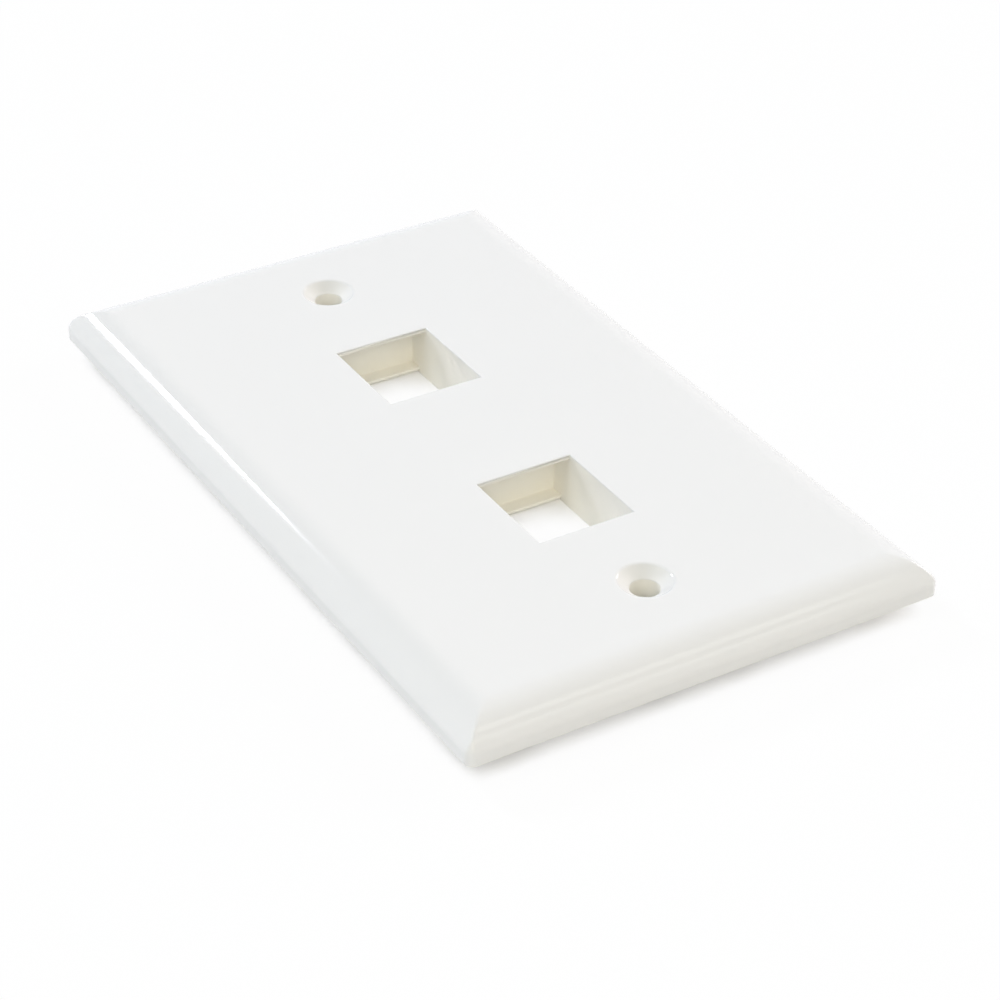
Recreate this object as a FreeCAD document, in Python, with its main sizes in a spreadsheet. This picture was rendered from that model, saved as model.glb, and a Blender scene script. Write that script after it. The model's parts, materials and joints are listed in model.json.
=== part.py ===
import FreeCAD, Part
import math
import os

import Sketcher
from FreeCAD import Vector

# A single-gang wall plate for two snap-in keystone jacks, moulded as one piece.
#
# Frame: the origin is the middle of the wall plane, midway between the two screws. +X runs
# across the plate, +Y along it towards the latch side of the ports, and +Z out of the wall,
# through the front face. The two receptacles reach below the wall plane, into the box.

SIZES = {
    # Outline and edge
    "plate_width": 69.85,
    "plate_length": 114.3,
    "face_height": 5.25,  # front face above the wall plane
    "edge_upright": 1.6,  # vertical stretch of the edge
    "edge_turn_radius": 1.2,  # from the vertical stretch into the slope
    "edge_slope": 57.5,  # degrees between the slope and the wall
    "edge_crown_radius": 6.4,  # from the slope into the front face
    "corner_radius": 1.15,
    # Hollow back
    "front_wall": 2.0,
    "rim_wall": 2.0,
    "hollow_upright": 1.0,  # vertical stretch of the hollow's sides
    "hollow_roof_inset": 4.6,  # from the outline in to the edge of the hollow's roof
    "hollow_corner_radius": 0.8,
    # Keystone ports
    "port_width": 14.4,
    "port_length": 15.5,
    "port_spacing": 38.5,
    "port_shift": -1.2,  # midpoint of the two openings along the plate
    "port_depth": 8.3,  # from the front face to the receptacle's open rear
    "port_wall": 1.5,
    "port_corner_radius": 0.8,
    "catch_depth": 7.4,  # from the front face to the ledges that hold the jack
    "catch_overhang": 2.1,
    "catch_ramp": 0.5,  # lead-in on the latch ledge's rear edge
    "latch_room": 3.7,  # from the opening out to the wall behind the latch
    "latch_skin": 0.75,  # front wall left over the latch's room
    "hook_room": 2.0,  # from the opening out into the groove for the jack's fixed hook
    "hook_height": 1.5,
    # Screw holes
    "screw_spacing": 83.3,
    "screw_hole": 4.0,
    "screw_sink": 7.5,
    "screw_sink_angle": 106,  # degrees
    "boss_wall": 2.2,
    # Ribs and ejector marks on the back
    "rib_thickness": 1.2,
    "rib_relief": 0.6,  # the ribs stop this far short of the wall plane
    "ejector_diameter": 5.0,
    "ejector_depth": 0.25,
    "ejector_side_inset": 12.0,
    "ejector_end_inset": 24.0,
    # How far a cutting outline runs past what it trims
    "past": 2.0,
}

HALF_WIDTH = "Sizes.plate_width / 2"
HALF_LENGTH = "Sizes.plate_length / 2"
FRONT = "Sizes.face_height"
ROOF = "Sizes.face_height - Sizes.front_wall"
REAR = "Sizes.face_height - Sizes.port_depth"
LEDGE = "Sizes.face_height - Sizes.catch_depth"
# The port that is drawn is the one on the -Y side: the two ends of its opening, and the two
# ends of the room inside its receptacle
MIDDLE = "Sizes.port_shift - Sizes.port_spacing / 2"
HOOK_END = f"{MIDDLE} - Sizes.port_length / 2"
LATCH_END = f"{MIDDLE} + Sizes.port_length / 2"
HOOK_WALL = f"{HOOK_END} - Sizes.hook_room"
LATCH_WALL = f"{LATCH_END} + Sizes.latch_room"


def make_sheet(doc):
    """The driving dimensions, one alias a row."""
    sheet = doc.addObject("Spreadsheet::Sheet", "Sizes")
    for row, (alias, size) in enumerate(SIZES.items(), start=1):
        sheet.set(f"A{row}", alias)
        sheet.set(f"B{row}", str(size))
        sheet.setAlias(f"B{row}", alias)
    doc.recompute()


def origin_feature(body, role):
    return next(feature for feature in body.Origin.OriginFeatures if feature.Role == role)


def add_sketch(body, name, plane="XY_Plane", offset="0"):
    """A sketch on one of the body's origin planes, moved along its normal by an expression."""
    sketch = body.newObject("Sketcher::SketchObject", name)
    sketch.AttachmentSupport = [(origin_feature(body, plane), "")]
    sketch.MapMode = "FlatFace"
    sketch.setExpression("AttachmentOffset.Base.z", offset)
    body.Document.recompute()
    return sketch


def number(sketch, expression):
    return float(sketch.evalExpression(expression))


def bind(sketch, kind, references, expression):
    """Add a dimension and tie it to its expression."""
    start = number(sketch, expression)
    index = sketch.addConstraint(Sketcher.Constraint(kind, *references, start))
    sketch.setExpression(f"Constraints[{index}]", expression)


def place(sketch, geometry, vertex, x=None, y=None):
    """Tie a point to expressions for its distances from the sketch's origin."""
    for kind, axis, expression in (("DistanceX", -2, x), ("DistanceY", -1, y)):
        if expression == "0":
            sketch.addConstraint(Sketcher.Constraint("PointOnObject", geometry, vertex, axis))
        elif expression is not None:
            bind(sketch, kind, (-1, 1, geometry, vertex), expression)


def straight_wire(sketch, corners):
    """A closed wire of straight sides through corners given as pairs of expressions."""
    points = [Vector(number(sketch, x), number(sketch, y), 0) for x, y in corners]
    sides = [
        sketch.addGeometry(Part.LineSegment(start, end))
        for start, end in zip(points, points[1:] + points[:1])
    ]
    for index, (x, y) in enumerate(corners):
        sketch.addConstraint(Sketcher.Constraint("Coincident", sides[index - 1], 2, sides[index], 1))
        place(sketch, sides[index], 1, x, y)


def rectangle(sketch, low_x, low_y, high_x, high_y):
    straight_wire(sketch, [(low_x, low_y), (high_x, low_y), (high_x, high_y), (low_x, high_y)])


def rounded_rectangle(sketch, low_x, low_y, high_x, high_y, radius):
    """Four quarter arcs joined by four sides, anticlockwise from the corner at high x, high y."""
    size = number(sketch, radius)
    inner_x = (number(sketch, high_x) - size, number(sketch, low_x) + size)
    inner_y = (number(sketch, high_y) - size, number(sketch, low_y) + size)
    arcs = []
    for turn, (x, y) in enumerate(((0, 0), (1, 0), (1, 1), (0, 1))):
        circle = Part.Circle(Vector(inner_x[x], inner_y[y], 0), Vector(0, 0, 1), size)
        start = turn * math.pi / 2
        arcs.append(sketch.addGeometry(Part.ArcOfCircle(circle, start, start + math.pi / 2)))
    for index, arc in enumerate(arcs):
        after = arcs[(index + 1) % len(arcs)]
        side = sketch.addGeometry(Part.LineSegment(sketch.getPoint(arc, 2), sketch.getPoint(after, 1)))
        sketch.addConstraint(Sketcher.Constraint("Tangent", arc, 2, side, 1))
        sketch.addConstraint(Sketcher.Constraint("Tangent", side, 2, after, 1))
        sketch.addConstraint(Sketcher.Constraint("Vertical" if index % 2 else "Horizontal", side))
    for arc in arcs[1:]:
        sketch.addConstraint(Sketcher.Constraint("Equal", arcs[0], arc))
    bind(sketch, "Radius", (arcs[0],), radius)
    place(sketch, arcs[0], 1, x=high_x)
    place(sketch, arcs[0], 2, y=high_y)
    place(sketch, arcs[1], 2, x=low_x)
    place(sketch, arcs[2], 2, y=low_y)


def inset_outline(sketch, inset, radius):
    """The plate's outline moved in by an expression, with rounded corners."""
    x = f"{HALF_WIDTH} - {inset}"
    y = f"{HALF_LENGTH} - {inset}"
    rounded_rectangle(sketch, f"-({x})", f"-({y})", x, y, radius)


def edge_offcut(sketch, half):
    """What is outside the edge's section, at one end of the plate.

    The section goes up the vertical stretch, through the turn, along the slope and through
    the crown, each tangent to the next, and leaves the crown level with the front face.
    """
    edge = number(sketch, half)
    upright = number(sketch, "Sizes.edge_upright")
    front = number(sketch, FRONT)
    past = number(sketch, "Sizes.past")
    turn_radius = number(sketch, "Sizes.edge_turn_radius")
    crown_radius = number(sketch, "Sizes.edge_crown_radius")
    slope = math.radians(number(sketch, "Sizes.edge_slope"))
    lean = math.pi / 2 - slope  # the slope's outward normal, above the horizontal

    turn_centre = Vector(edge - turn_radius, upright, 0)
    turn_end = turn_centre + turn_radius * Vector(math.cos(lean), math.sin(lean), 0)
    crown_start_height = front - crown_radius * (1 - math.sin(lean))
    run = (crown_start_height - turn_end.y) / math.tan(slope)
    crown_start = Vector(turn_end.x - run, crown_start_height, 0)
    crown_centre = crown_start - crown_radius * Vector(math.cos(lean), math.sin(lean), 0)
    crown_end = crown_centre + Vector(0, crown_radius, 0)
    foot = Vector(edge, -past, 0)
    outer_foot = Vector(edge + past, -past, 0)
    outer_top = Vector(edge + past, front + past, 0)
    inner_top = Vector(crown_end.x, front + past, 0)

    flat = Vector(0, 0, 1)
    turn_circle = Part.Circle(turn_centre, flat, turn_radius)
    crown_circle = Part.Circle(crown_centre, flat, crown_radius)
    rise = sketch.addGeometry(Part.LineSegment(foot, Vector(edge, upright, 0)))
    turn = sketch.addGeometry(Part.ArcOfCircle(turn_circle, 0, lean))
    incline = sketch.addGeometry(Part.LineSegment(turn_end, crown_start))
    crown = sketch.addGeometry(Part.ArcOfCircle(crown_circle, lean, math.pi / 2))
    lift = sketch.addGeometry(Part.LineSegment(crown_end, inner_top))
    top = sketch.addGeometry(Part.LineSegment(inner_top, outer_top))
    outside = sketch.addGeometry(Part.LineSegment(outer_top, outer_foot))
    base = sketch.addGeometry(Part.LineSegment(outer_foot, foot))

    sketch.addConstraint(Sketcher.Constraint("Tangent", rise, 2, turn, 1))
    sketch.addConstraint(Sketcher.Constraint("Tangent", turn, 2, incline, 1))
    sketch.addConstraint(Sketcher.Constraint("Tangent", incline, 2, crown, 1))
    for before, vertex, after in ((crown, 2, lift), (lift, 2, top), (top, 2, outside), (outside, 2, base)):
        sketch.addConstraint(Sketcher.Constraint("Coincident", before, vertex, after, 1))
    sketch.addConstraint(Sketcher.Constraint("Coincident", base, 2, rise, 1))
    for side in (rise, lift, outside):
        sketch.addConstraint(Sketcher.Constraint("Vertical", side))
    for side in (top, base):
        sketch.addConstraint(Sketcher.Constraint("Horizontal", side))
    sketch.addConstraint(Sketcher.Constraint("Vertical", crown, 3, crown, 2))
    bind(sketch, "Radius", (turn,), "Sizes.edge_turn_radius")
    bind(sketch, "Radius", (crown,), "Sizes.edge_crown_radius")
    index = sketch.addConstraint(Sketcher.Constraint("Angle", incline, math.pi - slope))
    sketch.setExpression(f"Constraints[{index}]", "180 deg - Sizes.edge_slope * 1 deg")
    place(sketch, rise, 2, x=half, y="Sizes.edge_upright")
    place(sketch, crown, 2, y=FRONT)
    place(sketch, outside, 1, x=f"{half} + Sizes.past", y=f"{FRONT} + Sizes.past")
    place(sketch, rise, 1, y="-Sizes.past")


def port_section(sketch):
    """The room inside a receptacle, seen from its side: first along the plate, then up.

    From the front it goes down the fixed side, round the groove for the rigid hook and past
    the lip that the hook holds, then up the latch side, over the ledge and into the latch's
    room.
    """
    above = f"{FRONT} + Sizes.past"
    below = f"{REAR} - Sizes.past"
    groove_top = f"{LEDGE} + Sizes.hook_height"
    ledge_edge = f"{LATCH_WALL} - Sizes.catch_overhang"
    skin = f"{FRONT} - Sizes.latch_skin"
    straight_wire(
        sketch,
        [
            (HOOK_END, above),
            (HOOK_END, groove_top),
            (HOOK_WALL, groove_top),
            (HOOK_WALL, LEDGE),
            (HOOK_END, LEDGE),
            (HOOK_END, below),
            (f"{ledge_edge} + Sizes.catch_ramp", below),
            (f"{ledge_edge} + Sizes.catch_ramp", REAR),
            (ledge_edge, f"{REAR} + Sizes.catch_ramp"),
            (ledge_edge, LEDGE),
            (LATCH_WALL, LEDGE),
            (LATCH_WALL, skin),
            (LATCH_END, skin),
            (LATCH_END, above),
        ],
    )


def circle_at(sketch, x, y, diameter):
    radius = number(sketch, diameter) / 2
    centre = Vector(number(sketch, x), number(sketch, y), 0)
    circle = sketch.addGeometry(Part.Circle(centre, Vector(0, 0, 1), radius))
    place(sketch, circle, 3, x, y)
    bind(sketch, "Diameter", (circle,), diameter)


def extrude(body, kind, name, sketch, length, symmetric=False, upward=False):
    """A pad or pocket whose length is an expression; a pocket goes down unless upward is set."""
    feature = body.newObject(f"PartDesign::{kind}", name)
    feature.Profile = sketch
    feature.SideType = "Symmetric" if symmetric else "One side"
    feature.Reversed = upward and kind == "Pocket"
    feature.setExpression("Length", length)
    body.Document.recompute()
    return feature


def repeat(body, kind, name, originals, **settings):
    """A mirror or pattern of earlier features."""
    feature = body.newObject(f"PartDesign::{kind}", name)
    feature.Originals = originals
    for setting, chosen in settings.items():
        setattr(feature, setting, chosen)
    body.Tip = feature
    return feature


def mirror(body, name, originals, plane):
    feature = repeat(body, "Mirrored", name, originals, MirrorPlane=(origin_feature(body, plane), [""]))
    body.Document.recompute()
    return feature


def shape_outside(body):
    """A slab trimmed to the edge's section along its sides, then its ends, then to its outline."""
    slab = add_sketch(body, "SlabOutline")
    x = f"{HALF_WIDTH} + Sizes.past / 2"
    y = f"{HALF_LENGTH} + Sizes.past / 2"
    rectangle(slab, f"-({x})", f"-({y})", x, y)
    extrude(body, "Pad", "Slab", slab, FRONT)

    for name, plane, half, across, mirror_plane in (
        ("Side", "XZ_Plane", HALF_WIDTH, "Sizes.plate_length", "YZ_Plane"),
        ("End", "YZ_Plane", HALF_LENGTH, "Sizes.plate_width", "XZ_Plane"),
    ):
        section = add_sketch(body, f"{name}Section", plane)
        edge_offcut(section, half)
        trim = extrude(body, "Pocket", f"{name}Trim", section, f"{across} + 4 * Sizes.past", symmetric=True)
        mirror(body, f"{name}Trims", [trim], mirror_plane)

    outline = add_sketch(body, "Outline", offset="-Sizes.past")
    rectangle(outline, f"-({x})", f"-({y})", x, y)
    inset_outline(outline, "0", "Sizes.corner_radius")
    extrude(body, "Pocket", "CornerTrim", outline, f"{FRONT} + 2 * Sizes.past", upward=True)


def hollow_back(body):
    """The hollow: upright sides at the rim, then sides that lean in under the bevel."""
    levels = (
        ("HollowMouth", "0", "Sizes.rim_wall"),
        ("HollowShoulder", "Sizes.hollow_upright", "Sizes.rim_wall"),
        ("HollowRoof", ROOF, "Sizes.hollow_roof_inset"),
    )
    outlines = []
    for name, height, inset in levels:
        outline = add_sketch(body, name, offset=height)
        inset_outline(outline, inset, "Sizes.hollow_corner_radius")
        outlines.append(outline)
    loft = body.newObject("PartDesign::SubtractiveLoft", "Hollow")
    loft.Profile = outlines[0]
    loft.Sections = outlines[1:]
    loft.Ruled = True
    body.Document.recompute()


def screw_bosses(body):
    """Rings round the screw holes, from the front wall down to the wall plane."""
    sketch = add_sketch(body, "BossOutline")
    for side in ("", "-"):
        circle_at(sketch, "0", f"{side}Sizes.screw_spacing / 2", "Sizes.screw_hole + 2 * Sizes.boss_wall")
    extrude(body, "Pad", "Bosses", sketch, ROOF)


def stiffening_ribs(body):
    """A spine along the plate and a rib across it at each port."""
    half = "Sizes.rib_thickness / 2"
    x = f"{HALF_WIDTH} - Sizes.rim_wall"
    y = f"{HALF_LENGTH} - Sizes.rim_wall"
    height = f"{ROOF} - Sizes.rib_relief"
    spine = add_sketch(body, "SpineOutline", offset="Sizes.rib_relief")
    rectangle(spine, f"-{half}", f"-({y})", half, y)
    extrude(body, "Pad", "Spine", spine, height)
    for name, step in (("HookSide", "-"), ("LatchSide", "+")):
        middle = f"Sizes.port_shift {step} Sizes.port_spacing / 2"
        rib = add_sketch(body, f"{name}RibOutline", offset="Sizes.rib_relief")
        rectangle(rib, f"-({x})", f"{middle} - {half}", x, f"{middle} + {half}")
        extrude(body, "Pad", f"{name}Rib", rib, height)


def ports(body):
    """One receptacle with its keystone room, repeated along the plate."""
    outline = add_sketch(body, "ReceptacleOutline", offset=REAR)
    x = "(Sizes.port_width / 2 + Sizes.port_wall)"
    rounded_rectangle(
        outline,
        f"-{x}",
        f"{HOOK_WALL} - Sizes.port_wall",
        x,
        f"{LATCH_WALL} + Sizes.port_wall",
        "Sizes.port_corner_radius",
    )
    frame = extrude(body, "Pad", "Receptacle", outline, "Sizes.port_depth - Sizes.front_wall")
    section = add_sketch(body, "PortSection", "YZ_Plane")
    port_section(section)
    room = extrude(body, "Pocket", "PortRoom", section, "Sizes.port_width", symmetric=True)
    pair = repeat(
        body,
        "LinearPattern",
        "PortPair",
        [frame, room],
        Direction=(origin_feature(body, "Y_Axis"), [""]),
        Mode="Spacing",
        Occurrences=2,
    )
    pair.setExpression("Offset", "Sizes.port_spacing")
    body.Document.recompute()


def screw_holes(body):
    """Countersunk clearance holes through the front wall and the bosses."""
    sketch = add_sketch(body, "ScrewCentres", offset=FRONT)
    for side in ("", "-"):
        circle_at(sketch, "0", f"{side}Sizes.screw_spacing / 2", "Sizes.screw_hole")
    holes = body.newObject("PartDesign::Hole", "ScrewHoles")
    holes.Profile = sketch
    body.Document.recompute()
    holes.ThreadType = "None"
    holes.DepthType = "ThroughAll"
    holes.HoleCutType = "Countersink"
    holes.setExpression("Diameter", "Sizes.screw_hole")
    holes.setExpression("HoleCutDiameter", "Sizes.screw_sink")
    holes.setExpression("HoleCutCountersinkAngle", "Sizes.screw_sink_angle")
    body.Document.recompute()


def ejector_marks(body):
    """Shallow round marks in the hollow's roof, where the mould's pins push the plate off."""
    sketch = add_sketch(body, "EjectorOutline", offset=ROOF)
    for side_x in ("", "-"):
        for side_y in ("", "-"):
            x = f"{side_x}({HALF_WIDTH} - Sizes.ejector_side_inset)"
            y = f"{side_y}({HALF_LENGTH} - Sizes.ejector_end_inset)"
            circle_at(sketch, x, y, "Sizes.ejector_diameter")
    extrude(body, "Pocket", "EjectorMarks", sketch, "Sizes.ejector_depth", upward=True)


def build_faceplate(doc):
    body = doc.addObject("PartDesign::Body", "Faceplate")
    body.Label = "faceplate"
    shape_outside(body)
    hollow_back(body)
    screw_bosses(body)
    stiffening_ribs(body)
    ports(body)
    screw_holes(body)
    ejector_marks(body)
    return body


def check(doc, bodies):
    """Stop on a failed object, a feature that changes nothing or the wrong way, or a bad solid."""
    for thing in doc.Objects:
        if {"Invalid", "Error"} & set(thing.State):
            raise RuntimeError(f"{thing.Name} failed: {thing.State}")
    for body in bodies:
        for feature in body.Group:
            base = getattr(feature, "BaseFeature", None)
            if base is None:
                continue
            change = feature.Shape.Volume - base.Shape.Volume
            if abs(change) < 1e-6:
                raise RuntimeError(f"{feature.Name} changes nothing")
            if feature.TypeId in ("PartDesign::Pocket", "PartDesign::SubtractiveLoft", "PartDesign::Hole"):
                if change > 0:
                    raise RuntimeError(f"{feature.Name} adds material")
        shape = body.Shape
        if shape.isNull() or not shape.isValid() or len(shape.Solids) != 1:
            raise RuntimeError(f"{body.Label} isn't one valid solid")


def main():
    doc = FreeCAD.newDocument("KeystoneFaceplate")
    make_sheet(doc)
    bodies = [build_faceplate(doc)]
    check(doc, bodies)
    os.makedirs("parts", exist_ok=True)
    for body in bodies:
        body.Shape.exportStep(f"parts/{body.Label}.step")
        box = body.Shape.BoundBox
        print(body.Label, f"{body.Shape.Volume:.1f} mm3", box)


main()
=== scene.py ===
import json
import logging
import math
from dataclasses import dataclass
from enum import Enum, IntEnum

import bmesh
import bpy
import numpy as np
from mathutils import Matrix, Vector
from mathutils.geometry import delaunay_2d_cdt


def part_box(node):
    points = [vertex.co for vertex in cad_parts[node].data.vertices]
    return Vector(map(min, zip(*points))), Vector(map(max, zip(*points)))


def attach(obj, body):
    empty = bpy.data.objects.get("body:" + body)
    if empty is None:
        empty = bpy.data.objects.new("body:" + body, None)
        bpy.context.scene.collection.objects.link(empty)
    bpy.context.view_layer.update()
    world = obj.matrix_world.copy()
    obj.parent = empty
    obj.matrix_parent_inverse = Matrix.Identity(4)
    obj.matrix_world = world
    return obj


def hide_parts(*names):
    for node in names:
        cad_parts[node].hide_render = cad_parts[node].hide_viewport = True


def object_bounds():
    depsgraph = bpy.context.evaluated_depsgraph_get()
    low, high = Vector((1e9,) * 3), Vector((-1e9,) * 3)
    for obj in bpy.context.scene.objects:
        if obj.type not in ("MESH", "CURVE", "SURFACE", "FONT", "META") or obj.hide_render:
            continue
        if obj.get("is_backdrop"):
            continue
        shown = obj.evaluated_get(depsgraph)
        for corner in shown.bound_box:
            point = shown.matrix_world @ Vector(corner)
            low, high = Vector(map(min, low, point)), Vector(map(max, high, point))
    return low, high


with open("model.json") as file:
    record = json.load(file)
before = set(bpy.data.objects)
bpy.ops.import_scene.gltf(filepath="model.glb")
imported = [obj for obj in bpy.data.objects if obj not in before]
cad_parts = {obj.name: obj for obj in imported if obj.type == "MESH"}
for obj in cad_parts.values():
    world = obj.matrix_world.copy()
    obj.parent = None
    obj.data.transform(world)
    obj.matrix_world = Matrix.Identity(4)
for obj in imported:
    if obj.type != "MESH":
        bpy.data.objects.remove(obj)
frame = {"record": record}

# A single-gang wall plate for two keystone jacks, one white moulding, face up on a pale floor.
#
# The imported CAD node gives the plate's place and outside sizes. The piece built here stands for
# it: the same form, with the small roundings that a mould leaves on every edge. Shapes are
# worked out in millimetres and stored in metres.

MM = 0.001
QUARTER_TURN = math.pi / 2
ROUNDING_STEPS = 4
MERGE_DISTANCE = 0.0005 * MM
FLOOR_GAP = 0.02 * MM
WHITE = (1.0, 1.0, 1.0, 1.0)

# What the triangulation returns, and how near two of its points may be
TRIANGLES_INSIDE = 1
FLAT_TOLERANCE = 1e-6

LOG = logging.getLogger("faceplate")


# ---------------------------------------------------------------------------------------------
# Surfaces
# ---------------------------------------------------------------------------------------------


class Side(IntEnum):
    """What in the mould made a face: polished steel, tooled steel or a pin. Each has its own
    roughness and grain. The tooled faces also carry painted light, a brighter and warmer tone, and
    the pinned faces carry painted shade, a darker tone.

    The value is also the place of the face's finish among the piece's materials.
    """

    POLISHED = 0
    TOOLED = 1
    PINNED = 2


def soften(rows: np.ndarray, reach: list[float]) -> np.ndarray:
    """Round the inner corners of a path through rows of sizes.

    At a corner C, a and b are the steps to the rows before and after it, shortened until their
    largest change is the corner's reach. The rounding is C + a (1 - sin t) + b (1 - cos t), for
    t from nothing to a quarter turn: a quarter circle where a and b are square to each other.

    Args:
        rows: Sizes of one outline a row.
        reach: How far the rounding goes from each inner corner.

    Returns:
        The rows of the rounded path.
    """
    corners = rows[1:-1]
    before = rows[:-2] - corners
    after = rows[2:] - corners
    before *= (reach / np.abs(before).max(axis=1))[:, None]
    after *= (reach / np.abs(after).max(axis=1))[:, None]
    turn = np.linspace(0.0, QUARTER_TURN, ROUNDING_STEPS + 1)[None, :, None]
    rounded = (
        corners[:, None, :]
        + before[:, None, :] * (1 - np.sin(turn))
        + after[:, None, :] * (1 - np.cos(turn))
    )
    return np.concatenate([rows[:1], rounded.reshape(-1, rows.shape[1]), rows[-1:]])


def rectangle_rings(sizes: np.ndarray, per_corner: int = 8) -> np.ndarray:
    """Rounded rectangles, one a row, each with the same number of points.

    A point is its corner's arc centre plus the radius times (cos t, sin t), where t runs over
    one quarter turn a corner, anticlockwise from the corner at high x and high y.

    Args:
        sizes: Rows of low x, high x, low y, high y, corner radius and height.
        per_corner: Points in each corner's arc.

    Returns:
        Points by ring, place round the ring, and axis.
    """
    arc = np.linspace(0.0, QUARTER_TURN, per_corner)
    turn = (np.arange(4)[:, None] * QUARTER_TURN + arc).ravel()
    at_high_x = np.repeat([True, False, False, True], per_corner)
    at_high_y = np.repeat([True, True, False, False], per_corner)
    low_x, high_x, low_y, high_y, radius, height = (column[:, None] for column in sizes.T)
    x = np.where(at_high_x, high_x - radius, low_x + radius) + radius * np.cos(turn)
    y = np.where(at_high_y, high_y - radius, low_y + radius) + radius * np.sin(turn)
    return np.stack([x, y, np.broadcast_to(height, x.shape)], axis=-1)


def circle_rings(sizes: np.ndarray, centre: tuple[float, float], around: int = 64) -> np.ndarray:
    """Circles about one upright axis, one a row: centre plus radius times (cos t, sin t).

    Args:
        sizes: Rows of radius and height.
        centre: Where the axis stands.
        around: Points in each circle.

    Returns:
        Points by ring, place round the ring, and axis.
    """
    turn = np.linspace(0.0, 4 * QUARTER_TURN, around, endpoint=False)
    radius, height = (column[:, None] for column in sizes.T)
    x = centre[0] + radius * np.cos(turn)
    y = centre[1] + radius * np.sin(turn)
    return np.stack([x, y, np.broadcast_to(height, x.shape)], axis=-1)


class Moulding:
    """Gathers patches of surface, in millimetres, and joins them into one closed mesh."""

    def __init__(self) -> None:
        """Start with no surface."""
        self._points: list[np.ndarray] = []
        self._faces: list[list[int]] = []
        self._sides: list[int] = []
        self._count = 0

    def _add(self, points: np.ndarray, faces: np.ndarray, side: int | np.ndarray) -> None:
        """Store a patch.

        Args:
            points: The patch's points.
            faces: Its faces, as places in those points.
            side: What in the mould made it, one for all its faces or one for each.
        """
        self._points.append(points.reshape(-1, 3))
        self._faces.extend((faces + self._count).tolist())
        self._sides.extend(np.broadcast_to(side, len(faces)).tolist())
        self._count += len(self._points[-1])

    def add_rings(self, rings: np.ndarray, side: int | np.ndarray) -> None:
        """Join each ring to the next by quads.

        With the rings' axis on the left of their section, the outer side is to the right of
        the path from ring to ring.

        Args:
            rings: Points by ring, place round the ring, and axis.
            side: What in the mould made it, one for all or one for each band between two rings.
        """
        bands, around = rings.shape[0] - 1, rings.shape[1]
        band, place = np.meshgrid(np.arange(bands), np.arange(around), indexing="ij")
        after = (place + 1) % around
        quads = np.stack(
            [
                band * around + place,
                band * around + after,
                (band + 1) * around + after,
                (band + 1) * around + place,
            ],
            axis=-1,
        ).reshape(-1, 4)
        self._add(rings, quads, np.repeat(np.broadcast_to(side, bands), around))

    def add_strip(self, first: np.ndarray, second: np.ndarray, side: int) -> None:
        """Join two lines by quads that run first, second, second, first.

        Args:
            first: Points of one line.
            second: As many points of the other.
            side: What in the mould made it.
        """
        count = len(first)
        place = np.arange(count - 1)
        quads = np.stack([place, place + count, place + 1 + count, place + 1], axis=-1)
        self._add(np.concatenate([first, second]), quads, side)

    def add_polygon(self, outline: np.ndarray, side: int) -> None:
        """Close a flat outline, whose points run anticlockwise seen from outside."""
        self._add(outline, np.arange(len(outline))[None, :], side)

    def add_flat(self, loops: list[np.ndarray], upward: bool, side: int) -> None:
        """Fill the level area between an outer loop and the loops of its holes with triangles.

        Every loop is convex, so a triangle with all its corners on one hole's loop is in the hole.

        Args:
            loops: The outer loop and then the holes, all at one height.
            upward: Whether the area faces up.
            side: What in the mould made it.
        """
        points = np.concatenate(loops)
        lengths = [len(loop) for loop in loops]
        loop_of = np.repeat(np.arange(len(loops)), lengths)
        starts = np.repeat(np.cumsum([0, *lengths[:-1]]), lengths)
        place = np.arange(len(points)) - starts
        after = starts + (place + 1) % np.repeat(lengths, lengths)
        flat = [Vector(point) for point in points[:, :2].tolist()]
        edges = np.stack([starts + place, after], axis=-1).tolist()
        _, _, faces, origins, *_ = delaunay_2d_cdt(
            flat, edges, [], TRIANGLES_INSIDE, FLAT_TOLERANCE
        )
        triangles = np.array([origin[0] for origin in origins])[np.array(faces)]
        corner_loop = loop_of[triangles]
        in_one_loop = (corner_loop == corner_loop[:, :1]).all(axis=1)
        triangles = triangles[~(in_one_loop & (corner_loop[:, 0] > 0))]
        edge_1 = points[triangles[:, 1]] - points[triangles[:, 0]]
        edge_2 = points[triangles[:, 2]] - points[triangles[:, 0]]
        turned = (np.cross(edge_1, edge_2)[:, 2] > 0) != upward
        triangles[turned] = triangles[turned][:, ::-1]
        self._add(points, triangles, side)

    def mesh(self, name: str) -> bpy.types.Mesh:
        """Join the patches where their points meet.

        Args:
            name: The mesh's name.

        Returns:
            The mesh, in metres.
        """
        mesh = bpy.data.meshes.new(name)
        mesh.from_pydata((np.concatenate(self._points) * MM).tolist(), [], self._faces)
        mesh.polygons.foreach_set("material_index", np.array(self._sides, dtype=np.int32))
        work = bmesh.new()
        work.from_mesh(mesh)
        bmesh.ops.remove_doubles(work, verts=work.verts, dist=MERGE_DISTANCE)
        open_edges = sum(1 for edge in work.edges if not edge.is_manifold)
        work.to_mesh(mesh)
        work.free()
        LOG.info("%s: %d faces, %d open edges", name, len(mesh.polygons), open_edges)
        return mesh


def into_scene(name: str, data: bpy.types.ID) -> bpy.types.Object:
    """Put a mesh, lamp or camera into the scene.

    Args:
        name: The object's name.
        data: What the object shows.

    Returns:
        The object, at the origin.
    """
    made = bpy.data.objects.new(name, data)
    bpy.context.scene.collection.objects.link(made)
    return made


# ---------------------------------------------------------------------------------------------
# Finishes
# ---------------------------------------------------------------------------------------------

Number = float | bpy.types.NodeSocket


class Socket(Enum):
    """The kinds of socket that the shared node groups have."""

    NUMBER = "NodeSocketFloat"
    COLOUR = "NodeSocketColor"


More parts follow.
